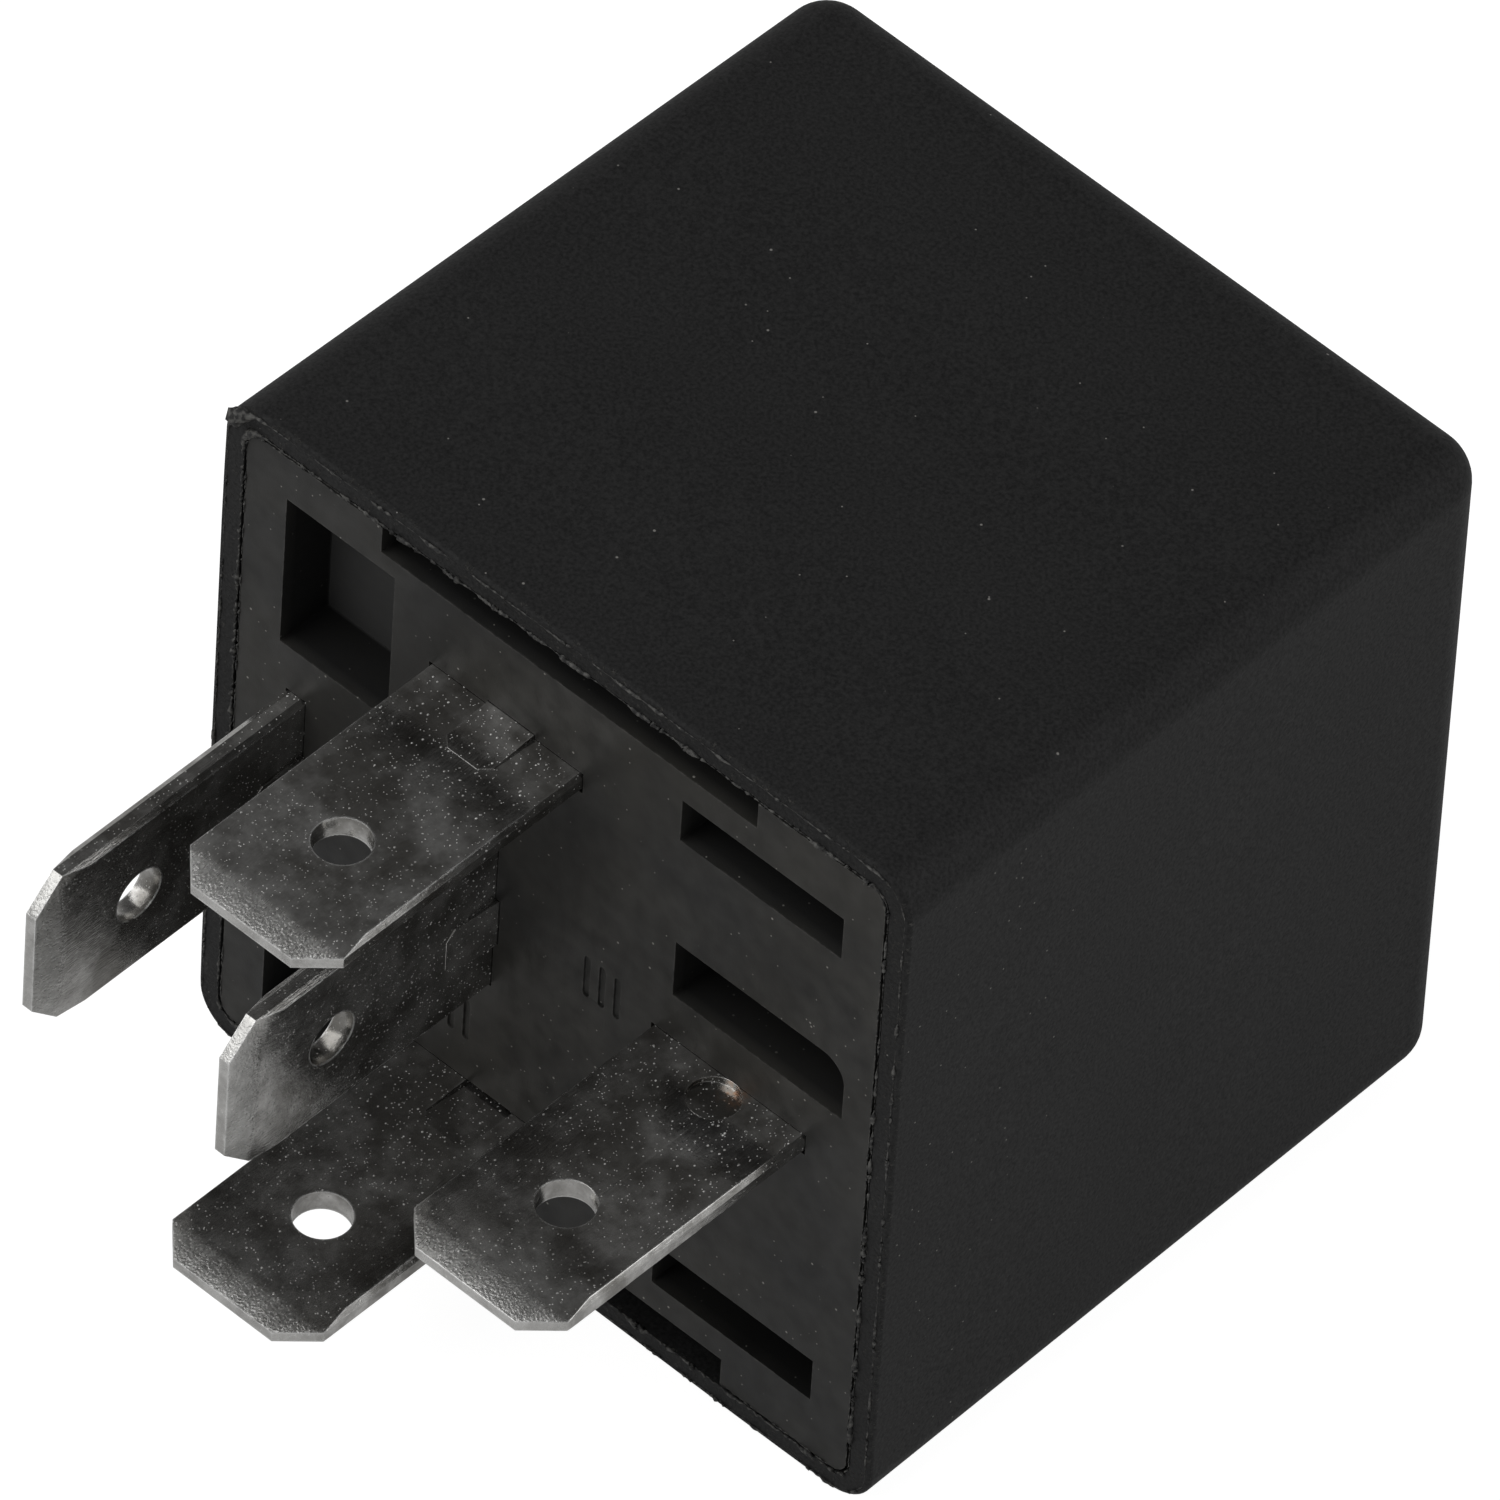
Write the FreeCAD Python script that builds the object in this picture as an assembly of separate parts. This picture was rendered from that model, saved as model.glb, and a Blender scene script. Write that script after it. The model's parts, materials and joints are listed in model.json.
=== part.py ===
"""Five-pin plug-in relay: sealed case, blade terminals and the electromagnet that works its contacts.

The relay lies on its side. Origin: centre of the base's mounting face. The blades point along -Y, the case
reaches along +Y, +Z is up. All sizes are in millimetres. The armature is drawn released, its rest state.
"""
import FreeCAD, Part
import math
import os

V = FreeCAD.Vector

# --- Case and base ------------------------------------------------------------------------------------
CASE_HALF = 14.0          # half of the square case at its rim
CASE_LENGTH = 25.7        # rim to closed end
DRAFT = 0.012             # taper of each side per millimetre of length
CASE_CORNER = 1.6         # outer radius of the long corners
CASE_END_FILLET = 1.5     # outer radius round the closed end
END_WALL = 1.1
RIM_WALL = 0.85           # wall thickness beside the base
BODY_WALL = 1.05          # wall thickness behind the base
RIM_CHAMFER = 0.12
BASE_THICK = 3.0
BASE_GAP = 0.12           # gap all round between base and case
SEAT_GAP = 0.05           # gap between the base's back and the step inside the case
RECESS_DEPTH = 2.1        # depth of the mould pockets in the mounting face
POCKET_X = (-11.35, -6.9)  # square pockets; each pair lies at plus and minus z
POCKET_Z = (5.0, 11.25)
LONG_SLOT_X = (4.9, 11.45)
LONG_SLOT_Z = (9.05, 10.8)
EDGE_NOTCH_X = (-7.5, 7.85)
EDGE_NOTCH_Z = 11.95
SIDE_SLOT_X = (5.0, 11.9)
SIDE_SLOT_Z = (2.25, 4.6)
SIDE_SLOT_CORNER = 0.9
HOLLOW_FILLET = 0.6
BASE_HALF = CASE_HALF - RIM_WALL - BASE_GAP
NUB_HEIGHT = 0.08         # snap nubs on the base edges, lower than the gap
NUB_LENGTH = 3.0
NUB_Z = 6.0
NUB_Y = (1.2, 1.8)
CATCH_DEPTH = 0.25        # dents in the case that the nubs snap into
CATCH_ROOM = 0.1
MARK = (0.26, 1.5, 0.09)  # bar of a position mark: width, height, depth
MARK_PITCH = 0.62

# --- Blades -------------------------------------------------------------------------------------------
BLADE_WIDTH = 6.3
BLADE_THICK = 0.8
BLADE_LENGTH = 11.3
TIP_CORNER = 1.1          # 45 degree corners of the tip
TIP_BEVEL = 1.15          # length of the thinned tip
TIP_THIN = 0.2            # thickness taken off each face at the tip
EDGE_BEVEL = 0.12
HOLE_R = 0.95
HOLE_FROM_TIP = 4.3
SLOT_CLEARANCE = 0.02     # gap between a blade and its slot in the base
TONGUE = (1.9, 2.1, 0.18)  # locking tongue: width, length in front of the base, rise at the base
TONGUE_OFFSET = 0.2
TONGUE_NICK = 0.35        # cut-off corners of the tongue
LANCE_R = 0.85            # half-round lance on the common blade
LANCE_DEPTH = 0.3
ROOT = 0.4                # depth at which a blade's bevels end, inside its slot

POS_87 = (-10.6, 0.0)     # (x, z) of each blade's centre
POS_87A = (-2.6, 0.0)
POS_30 = (7.4, 0.0)
POS_86 = (-2.2, 8.4)
POS_85 = (-2.2, -8.4)

# --- Electromagnet ------------------------------------------------------------------------------------
YOKE_THICK = 1.6
YOKE_Y = 4.2              # underside of the yoke's foot
YOKE_HALF_Z = 6.5
YOKE_FRONT_X = -4.4
YOKE_BACK_X = 11.6
YOKE_TOP = 19.1
YOKE_BEND = 1.8           # outer radius of the yoke's bend
EAR_Z = 5.6               # inner side of the ears beside the armature
EAR_HEIGHT = 1.1
COIL_X = 2.3
CORE_R = 3.6
SHANK_R = 2.4
POLE_R = 4.6
POLE_THICK = 0.9
BOBBIN_TUBE_R = 4.3
BOBBIN_FLANGE_HALF = 6.9
FLANGE_THICK = 1.0
WINDING_R = 6.4
FLANGE_CORNER = 1.5

# --- Armature and contacts ----------------------------------------------------------------------------
RELEASED_DEG = 3.0        # lift of the released armature
HINGE = (YOKE_BACK_X, YOKE_TOP + 0.05)
ARMATURE_THICK = 1.4
ARMATURE_FRONT_X = -5.4
ARMATURE_HALF_Z = 6.2
ARMATURE_HEEL_HALF_Z = 5.3
ARMATURE_HEEL_R = 1.39
ARMATURE_HEEL_GAP = 0.08  # gap between the armature's heel and the bend of the spring
LEAF_THICK = 0.2
LEAF_HALF_Z = 4.6
LEAF_TONGUE_HALF_Z = 1.9
LEAF_FOOT_Y = 9.0
LEAF_END_X = -10.6
LEAF_BEND_R = 1.5         # centre-line radius of the bend over the yoke
CONTACT_X = -8.8
CONTACT_R = 1.5
CONTACT_HOLE_R = 0.7
RIVET_SHANK_R = 0.8
RIVET_HEAD_R = 1.3
RIVET_HEAD = 0.4
RIVET_Z = 2.8
SPRING_RIVET_Y = 12.0
ARMATURE_RIVET_X = 3.2
YOKE_RIVET_X = 8.0
YOKE_RIVET_Z = 2.0
YOKE_RIVET_HEAD = 0.5
NO_ARM_Y = 18.2           # underside of the working contact's arm
NC_ARM_Y = 22.95          # underside of the resting contact's arm
STRIP = 0.8               # thickness of the bent terminal strips
NO_ARM_END_X = -7.3
NO_HALF_Z = 2.0           # half width of the working contact's strip
NC_HALF_X = 1.2           # half width of the resting contact's strip
NC_POST_Z = -8.4          # outer face of the resting contact's post
TAB_30_X = (5.0, 8.0)     # upright tab of terminal 30, where the braid is welded
TAB_30_TOP = 10.6
TAB_30_Z = 8.8            # outer face of that tab
COIL_TAB_X = (-7.1, -2.6)  # tabs of the coil terminals
COIL_TAB_Y = (5.2, 7.4)
COIL_POST_X = -3.5
COIL_POST_TOP = 9.0

# --- Coil suppression resistor ------------------------------------------------------------------------
RESISTOR_X = -6.4
RESISTOR_Y = 6.3
RESISTOR_R = 1.05
RESISTOR_CAP_R = 1.2
RESISTOR_HALF = 3.15
RESISTOR_CAP = 1.5        # length of each end cap
LEAD_R = 0.3
LEAD_END = 9.3
WIRE_R = 0.12
WIRE_END_Y = 8.2

# --- Braid --------------------------------------------------------------------------------------------
BRAID_R = 0.7
BRAID_ROUTE = [(6.5, 9.2, 9.6), (6.5, 19.0, 10.2), (4.6, 22.9, 8.2), (0.2, 22.9, 4.6), (-2.9, 22.3, 3.2)]


# --- Shape helpers ------------------------------------------------------------------------------------
def box(x0, x1, y0, y1, z0, z1):
    return Part.makeBox(x1 - x0, y1 - y0, z1 - z0, V(x0, y0, z0))


def rod(start, axis, radius, length):
    return Part.makeCylinder(radius, length, V(*start), V(*axis))


def polygon_wire(points):
    closed = [V(*p) for p in points]
    return Part.makePolygon(closed + closed[:1])


def prism(points, direction):
    return Part.Face(polygon_wire(points)).extrude(V(*direction))


def fused(shapes):
    result = shapes[0].multiFuse(shapes[1:]) if len(shapes) > 1 else shapes[0]
    return result.removeSplitter()


def cut(shape, tools):
    return shape.cut(tools).removeSplitter()


def rounded_square(half, radius, y):
    """Closed wire of a square with rounded corners, in the plane at y."""
    inner = half - radius
    diagonal = inner + radius * math.sqrt(0.5)
    edges = []
    for quarter in range(4):
        turn = math.radians(90 * quarter)
        cos, sin = round(math.cos(turn)), round(math.sin(turn))

        def place(x, z):
            return V(x * cos - z * sin, y, x * sin + z * cos)

        edges.append(Part.LineSegment(place(half, -inner), place(half, inner)).toShape())
        edges.append(Part.Arc(place(half, inner), place(diagonal, diagonal), place(inner, half)).toShape())
    return Part.Wire(Part.__sortEdges__(edges))


def square_block(half0, half1, radius, y0, y1):
    """Tapered block with rounded corners between two planes."""
    ends = [rounded_square(half0, radius, y0), rounded_square(half1, radius, y1)]
    return Part.makeLoft(ends, True, True)


def edges_along(shape, **place):
    """Edges whose ends all lie at the given coordinates, such as X=2, Y=5."""
    return [e for e in shape.Edges
            if all(abs(getattr(v, axis) - at) < 1e-4 for v in e.Vertexes for axis, at in place.items())]


def edges_at_y(shape, y):
    return edges_along(shape, Y=y)


def button(x, z, y0, y1, radius, soft_y):
    """Contact button along Y with its edge rounded at soft_y."""
    disc = rod((x, y0, z), (0, 1, 0), radius, y1 - y0)
    return disc.makeFillet(0.25, edges_at_y(disc, soft_y))


def released(shape):
    """Swing a shape drawn with the armature pulled in to the released state."""
    moved = shape.copy()
    moved.rotate(V(HINGE[0], HINGE[1], 0), V(0, 0, 1), -RELEASED_DEG)
    return moved


def rounded_path(points):
    """Wire of straight runs joined by tangent arcs as large as the runs allow."""
    corners = [V(*p) for p in points]
    edges = []
    last = corners[0]
    for before, corner, after in zip(corners, corners[1:], corners[2:]):
        arrive = (corner - before).normalize()
        leave = (after - corner).normalize()
        turn = arrive.getAngle(leave)
        reach = 0.45 * min((corner - before).Length, (after - corner).Length)
        radius = reach / math.tan(turn / 2)
        first = corner - arrive * reach
        second = corner + leave * reach
        towards = (leave - arrive).normalize()
        sagitta = radius / math.cos(turn / 2) - radius
        middle = corner + towards * sagitta
        edges.append(Part.LineSegment(last, first).toShape())
        edges.append(Part.Arc(first, middle, second).toShape())
        print("bend radius", round(radius, 2))
        last = second
    edges.append(Part.LineSegment(last, corners[-1]).toShape())
    return Part.Wire(edges)


def tube(points, radius):
    path = rounded_path(points)
    start = V(*points[0])
    direction = V(*points[1]) - start
    section = Part.Wire(Part.makeCircle(radius, start, direction))
    return path.makePipeShell([section], True, True)


# --- Case ---------------------------------------------------------------------------------------------
def square_wire(half, y):
    return polygon_wire([(-half, y, -half), (half, y, -half), (half, y, half), (-half, y, half)])


def case_block(half0, half1, y0, y1, corner, end_fillet):
    """Tapered block with rounded long corners and a rounded far end."""
    block = Part.makeLoft([square_wire(half0, y0), square_wire(half1, y1)], True, True)
    long_edges = [e for e in block.Edges if abs(e.Vertexes[0].Y - e.Vertexes[1].Y) > 1]
    block = block.makeFillet(corner, long_edges)
    return block.makeFillet(end_fillet, edges_at_y(block, y1))


def make_cover():
    end_half = CASE_HALF - DRAFT * CASE_LENGTH
    outer = case_block(CASE_HALF, end_half, 0, CASE_LENGTH, CASE_CORNER, CASE_END_FILLET)
    outer = outer.makeChamfer(RIM_CHAMFER, edges_at_y(outer, 0))
    seat_half = CASE_HALF - RIM_WALL
    step = BASE_THICK + SEAT_GAP
    seat = square_block(seat_half, seat_half, CASE_CORNER - RIM_WALL, -1, step)
    inner_end = CASE_LENGTH - END_WALL
    hollow_half = CASE_HALF - BODY_WALL - DRAFT * step
    hollow_end = CASE_HALF - BODY_WALL - DRAFT * inner_end
    hollow = case_block(hollow_half, hollow_end, step, inner_end, CASE_CORNER - RIM_WALL, HOLLOW_FILLET)
    catches = []
    for side in (-1, 1):
        for z in (-NUB_Z, NUB_Z):
            x = side * seat_half
            reach = NUB_LENGTH / 2 + CATCH_ROOM
            catches.append(box(x - CATCH_DEPTH, x + CATCH_DEPTH, NUB_Y[0] - CATCH_ROOM, NUB_Y[1] + CATCH_ROOM,
                               z - reach, z + reach))
    return cut(outer, [seat, hollow] + catches)


# --- Base ---------------------------------------------------------------------------------------------
def side_slot():
    """Recess beside the common blade, its upper outer corner rounded."""
    block = box(*SIDE_SLOT_X, -1, RECESS_DEPTH, *SIDE_SLOT_Z)
    corner = edges_along(block, X=SIDE_SLOT_X[1], Z=SIDE_SLOT_Z[1])
    return block.makeFillet(SIDE_SLOT_CORNER, corner)


def base_recesses():
    pairs = [(POCKET_X, POCKET_Z), (LONG_SLOT_X, LONG_SLOT_Z), (EDGE_NOTCH_X, (EDGE_NOTCH_Z, BASE_HALF + 1))]
    recesses = [side_slot()]
    for (x0, x1), span in pairs:
        for side in (-1, 1):
            low, high = sorted(side * z for z in span)
            recesses.append(box(x0, x1, -1, RECESS_DEPTH, low, high))
    return recesses


def blade_slot(position, along_z, mouths):
    """Through slot for a blade, widened in front by each mouth: (half width, low z, high z)."""
    half = BLADE_WIDTH / 2 + SLOT_CLEARANCE
    thick = BLADE_THICK / 2 + SLOT_CLEARANCE
    slot = box(-half, half, -1, BASE_THICK + 2, -thick, thick)
    for reach, low, high in mouths:
        slot = slot.fuse(box(TONGUE_OFFSET - reach, TONGUE_OFFSET + reach, -1, 1.1, low, high))
    return placed(slot, position, along_z)


def blade_slots():
    thick = BLADE_THICK / 2 + SLOT_CLEARANCE
    beside_tongue = TONGUE[0] / 2 + SLOT_CLEARANCE
    above = [(beside_tongue, 0, thick + TONGUE[2])]
    below = [(beside_tongue, -thick - TONGUE[2], 0)]
    lance = [(LANCE_R + SLOT_CLEARANCE, -thick - LANCE_DEPTH, 0)]
    return [blade_slot(POS_87, True, above), blade_slot(POS_87A, True, above),
            blade_slot(POS_30, False, lance),
            blade_slot(POS_86, False, above), blade_slot(POS_85, False, below)]


def position_marks():
    """Small sunk bars on the mounting face: one bar beside one blade, two beside the next, and so on."""
    width, height, depth = MARK
    places = [(-2.2, 5.6), (-3.4, -5.4), (2.2, 0.3), (-4.6, -1.2), (-7.6, 0.6)]
    marks = []
    for count, (x, z) in enumerate(places, 1):
        for index in range(count):
            middle = x + MARK_PITCH * (index - (count - 1) / 2)
            low = z - height / 2
            marks.append(box(middle - width / 2, middle + width / 2, -1, depth, low, low + height))
            for end in (low, low + height):
                marks.append(rod((middle, -1, end), (0, 1, 0), width / 2, 1 + depth))
    return marks


def make_base():
    plate = square_block(BASE_HALF, BASE_HALF, CASE_CORNER - RIM_WALL - BASE_GAP, 0, BASE_THICK)
    pad = box(3.4, 11.3, BASE_THICK, YOKE_Y - STRIP, -5.0, 5.0)
    ribs = [box(-1.5, 1.2, BASE_THICK, YOKE_Y, side * 5.4 - 0.9, side * 5.4 + 0.9) for side in (-1, 1)]
    nubs = []
    for side in (-1, 1):
        for z in (-NUB_Z, NUB_Z):
            inner, outer = sorted((side * (BASE_HALF - NUB_HEIGHT), side * (BASE_HALF + NUB_HEIGHT)))
            nubs.append(box(inner, outer, *NUB_Y, z - NUB_LENGTH / 2, z + NUB_LENGTH / 2))
    body = fused([plate, pad] + ribs + nubs)
    pocket_y = YOKE_Y - STRIP - YOKE_RIVET_HEAD - 0.1
    rivet_pockets = [rod((YOKE_RIVET_X, pocket_y, side * YOKE_RIVET_Z), (0, 1, 0), RIVET_HEAD_R + 0.2, 1.0)
                     for side in (-1, 1)]
    return cut(body, base_recesses() + blade_slots() + rivet_pockets + position_marks())


# --- Terminals ----------------------------------------------------------------------------------------
def placed(shape, position, along_z):
    """Move a blade drawn at the origin, width along X, to its place, turned if its width runs along Z."""
    moved = shape.copy()
    if along_z:
        moved.rotate(V(0, 0, 0), V(0, 1, 0), 90)
    moved.translate(V(position[0], 0, position[1]))
    return moved


def blade_outline(edge, bevel, z):
    """Outline of the blade in its own plane, drawn in from its sides by edge and from its tip by bevel."""
    half = BLADE_WIDTH / 2
    drawn = bevel * math.sqrt(2) * 0.7
    shoulder = BLADE_LENGTH - TIP_CORNER - drawn + edge
    corner = half - TIP_CORNER - drawn + bevel
    points = [(half - edge, ROOT), (half - edge, -shoulder), (corner, -(BLADE_LENGTH - bevel))]
    return [(x, y, z) for x, y in points] + [(-x, y, z) for x, y in reversed(points)]


def plain_blade():
    """Flat blade with a coined tip, bevelled edges and its detent hole, from the base face outwards."""
    face = BLADE_THICK / 2
    middle = face - TIP_THIN
    core = prism(blade_outline(0, 0, -middle), (0, 0, 2 * middle))
    layers = [core]
    for side in (-1, 1):
        wide = polygon_wire(blade_outline(0, 0, side * middle))
        narrow = polygon_wire(blade_outline(EDGE_BEVEL, TIP_BEVEL, side * face))
        layers.append(Part.makeLoft([wide, narrow], True, True))
    blade = fused(layers)
    hole = rod((0, HOLE_FROM_TIP - BLADE_LENGTH, -1), (0, 0, 1), HOLE_R, 2)
    return cut(blade, [hole])


def ramp(y_out, level, rise, depth):
    """Wedge from a slope, at level at y_out and level + rise in the slot, to a flat far side."""
    y_in = 0.2
    far = level + depth
    return prism([(-2, y_out, level), (-2, y_in, level + rise), (-2, y_in, far), (-2, y_out, far)], (4, 0, 0))


def tongued_blade(out):
    """Blade with a locking tongue pushed out towards out, 1 or -1 in z, furthest at the base."""
    face = BLADE_THICK / 2
    width, length, rise = TONGUE
    half = width / 2
    points = [(half, 1), (half, TONGUE_NICK - length), (half - TONGUE_NICK, -length)]
    points = points + [(-x, y) for x, y in reversed(points)]
    outline = prism([(x + TONGUE_OFFSET, y, -2) for x, y in points], (0, 0, 4))
    start = -length - 0.1
    raised = outline.common(ramp(start, out * face, out * rise, -out * 0.2))
    sunk = outline.common(ramp(start, -out * face, out * rise, -out))
    return cut(plain_blade().fuse(raised), [sunk])


def lanced_blade():
    """Blade with a half-round lance pressed down beside the base, and its bulge on the other face."""
    face = BLADE_THICK / 2
    disc = rod((TONGUE_OFFSET, -LANCE_R, -2), (0, 0, 1), LANCE_R, 4)
    start = -2 * LANCE_R - 0.15
    pressed = disc.common(ramp(start, face, -LANCE_DEPTH, 1))
    bulge = disc.common(ramp(start, -face, -LANCE_DEPTH, 0.2))
    return cut(plain_blade().fuse(bulge), [pressed])


def foot_in_base(top):
    """Part of a blade inside the base, up to top."""
    half = BLADE_WIDTH / 2
    return box(-half, half, ROOT, top, -BLADE_THICK / 2, BLADE_THICK / 2)


def make_terminal_87():
    blade = placed(tongued_blade(1).fuse(foot_in_base(2.5)), POS_87, True)
    x0 = POS_87[0] - STRIP / 2
    top = NO_ARM_Y + STRIP
    post = box(x0, x0 + STRIP, 1, top, -NO_HALF_Z, NO_HALF_Z)
    arm = box(x0, NO_ARM_END_X, NO_ARM_Y, top, -NO_HALF_Z, NO_HALF_Z)
    bent = post.fuse(arm).removeSplitter()
    bent = bent.makeFillet(1.0, edges_along(bent, X=x0, Y=top))
    hole = rod((CONTACT_X, NO_ARM_Y - 1, 0), (0, 1, 0), CONTACT_HOLE_R, 3)
    return cut(fused([blade, bent]), [hole])


def make_terminal_87a():
    blade = placed(tongued_blade(1).fuse(foot_in_base(BASE_THICK + STRIP)), POS_87A, True)
    y0 = BASE_THICK
    y1 = y0 + STRIP
    top = NC_ARM_Y + STRIP
    x0, x1 = CONTACT_X - NC_HALF_X, CONTACT_X + NC_HALF_X
    first_leg = box(x1 - 0.4, POS_87A[0] + STRIP / 2, y0, y1, -5.2, -2.2)
    second_leg = box(x0, x1, y0, y1, NC_POST_Z, -3.6)
    post = box(x0, x1, y0, top, NC_POST_Z, NC_POST_Z + STRIP)
    arm = box(x0, x1, NC_ARM_Y, top, NC_POST_Z, 1.6)
    strip = fused([first_leg, second_leg, post, arm])
    for y in (y0, top):
        strip = strip.makeFillet(0.7, edges_along(strip, Y=y, Z=NC_POST_Z))
    hole = rod((CONTACT_X, NC_ARM_Y - 1, 0), (0, 1, 0), CONTACT_HOLE_R, 3)
    return cut(fused([blade, strip]), [hole])


def make_terminal_30():
    under = YOKE_Y - STRIP
    x, _ = POS_30
    half = BLADE_WIDTH / 2
    blade = placed(lanced_blade().fuse(foot_in_base(YOKE_Y)), POS_30, False)
    foot = box(x - half, x + half, under, YOKE_Y, -3.2, 3.2)
    arm = box(*TAB_30_X, under, YOKE_Y, 0, TAB_30_Z)
    tab = box(*TAB_30_X, under, TAB_30_TOP, TAB_30_Z - STRIP, TAB_30_Z)
    body = fused([foot, arm, tab])
    body = body.makeFillet(0.9, edges_along(body, Y=under, Z=TAB_30_Z))
    return cut(fused([blade, body]), yoke_rivet_holes())


def coil_terminal(position, out):
    """Coil terminal: blade, foot and a tab that takes the resistor lead and the end of the winding."""
    blade = placed(tongued_blade(out).fuse(foot_in_base(BASE_THICK)), position, False)
    x, z = position
    span = (z - BLADE_THICK / 2, z + BLADE_THICK / 2)
    tab_low, tab_high = COIL_TAB_Y
    neck = box(x - BLADE_WIDTH / 2, COIL_TAB_X[1], 2, tab_low, *span)
    tab = box(*COIL_TAB_X, *COIL_TAB_Y, *span)
    post = box(COIL_POST_X, COIL_TAB_X[1], tab_high, COIL_POST_TOP, *span)
    lead_hole = rod((RESISTOR_X, RESISTOR_Y, z - 1), (0, 0, 1), LEAD_R + 0.03, 2)
    return cut(fused([blade, neck, tab, post]), [lead_hole])


# --- Electromagnet ------------------------------------------------------------------------------------
def yoke_rivet_holes():
    """Rivet holes through terminal 30 and the yoke's foot."""
    return [rod((YOKE_RIVET_X, 0, side * YOKE_RIVET_Z), (0, 1, 0), RIVET_SHANK_R, YOKE_Y + YOKE_THICK + 1)
            for side in (-1, 1)]


def make_yoke():
    z = YOKE_HALF_Z
    top = YOKE_Y + YOKE_THICK
    inner = YOKE_BACK_X - YOKE_THICK
    foot = box(YOKE_FRONT_X, YOKE_BACK_X, YOKE_Y, top, -z, z)
    leg = box(inner, YOKE_BACK_X, YOKE_Y, YOKE_TOP, -z, z)
    body = fused([foot, leg])
    body = body.makeFillet(YOKE_BEND, edges_along(body, X=YOKE_BACK_X, Y=YOKE_Y))
    ears = [box(inner, YOKE_BACK_X, YOKE_TOP - 1, YOKE_TOP + EAR_HEIGHT, *sorted((side * EAR_Z, side * z)))
            for side in (-1, 1)]
    holes = [rod((COIL_X, YOKE_Y - 1, 0), (0, 1, 0), SHANK_R, 4)] + yoke_rivet_holes()
    for side in (-1, 1):
        holes.append(rod((inner - 1, SPRING_RIVET_Y, side * RIVET_Z), (1, 0, 0), RIVET_SHANK_R, 4))
    return cut(fused([body] + ears), holes)


def make_core():
    top = YOKE_TOP - POLE_THICK
    shoulder = YOKE_Y + YOKE_THICK
    pole = rod((COIL_X, top, 0), (0, 1, 0), POLE_R, POLE_THICK)
    pole = pole.makeChamfer(0.2, edges_at_y(pole, YOKE_TOP))
    shaft = rod((COIL_X, shoulder, 0), (0, 1, 0), CORE_R, top - shoulder)
    shank = rod((COIL_X, YOKE_Y, 0), (0, 1, 0), SHANK_R, YOKE_THICK)
    return fused([pole, shaft, shank])


def make_bobbin():
    y0 = YOKE_Y + YOKE_THICK
    y1 = YOKE_TOP - POLE_THICK
    flanges = []
    for low in (y0, y1 - FLANGE_THICK):
        flange = square_block(BOBBIN_FLANGE_HALF, BOBBIN_FLANGE_HALF, FLANGE_CORNER, low, low + FLANGE_THICK)
        flange.translate(V(COIL_X, 0, 0))
        flanges.append(flange)
    barrel = rod((COIL_X, y0, 0), (0, 1, 0), BOBBIN_TUBE_R, y1 - y0)
    bore = rod((COIL_X, y0 - 1, 0), (0, 1, 0), CORE_R + 0.05, y1 - y0 + 2)
    return cut(fused(flanges + [barrel]), [bore])


def make_winding():
    y0 = YOKE_Y + YOKE_THICK + FLANGE_THICK
    y1 = YOKE_TOP - POLE_THICK - FLANGE_THICK
    outer = rod((COIL_X, y0, 0), (0, 1, 0), WINDING_R, y1 - y0)
    inner = rod((COIL_X, y0, 0), (0, 1, 0), BOBBIN_TUBE_R, y1 - y0)
    return outer.cut(inner)


def make_coil_leads():
    """Ends of the winding wire, one to each coil terminal."""
    leads = []
    for side in (-1, 1):
        points = [V(COIL_X, 7.3, side * (WINDING_R + WIRE_R)), V(-2.0, 7.9, side * 7.5),
                  V(-2.35, WIRE_END_Y, side * POS_86[1])]
        pieces = [Part.makeSphere(WIRE_R, p) for p in points]
        for start, end in zip(points, points[1:]):
            pieces.append(Part.makeCylinder(WIRE_R, (end - start).Length, start, end - start))
        leads.append(fused(pieces))
    return Part.Compound(leads)


# --- Armature, spring and contacts --------------------------------------------------------------------
def armature_rivet_holes():
    low = HINGE[1] - 1
    return [rod((ARMATURE_RIVET_X, low, side * RIVET_Z), (0, 1, 0), RIVET_SHANK_R, 4) for side in (-1, 1)]


def make_armature():
    y0 = HINGE[1]
    y1 = y0 + ARMATURE_THICK
    wide = ARMATURE_HALF_Z
    heel = ARMATURE_HEEL_HALF_Z
    heel_x = HINGE[0] - ARMATURE_HEEL_GAP
    half_plan = [(ARMATURE_FRONT_X, 3.4), (-1.6, wide), (9.4, wide), (9.4, heel), (heel_x, heel)]
    plan = half_plan + [(x, -z) for x, z in reversed(half_plan)]
    plate = prism([(x, y0, z) for x, z in plan], (0, ARMATURE_THICK, 0))
    plate = plate.makeFillet(ARMATURE_HEEL_R, edges_along(plate, X=heel_x, Y=y1))
    return released(cut(plate, armature_rivet_holes()))


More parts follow.
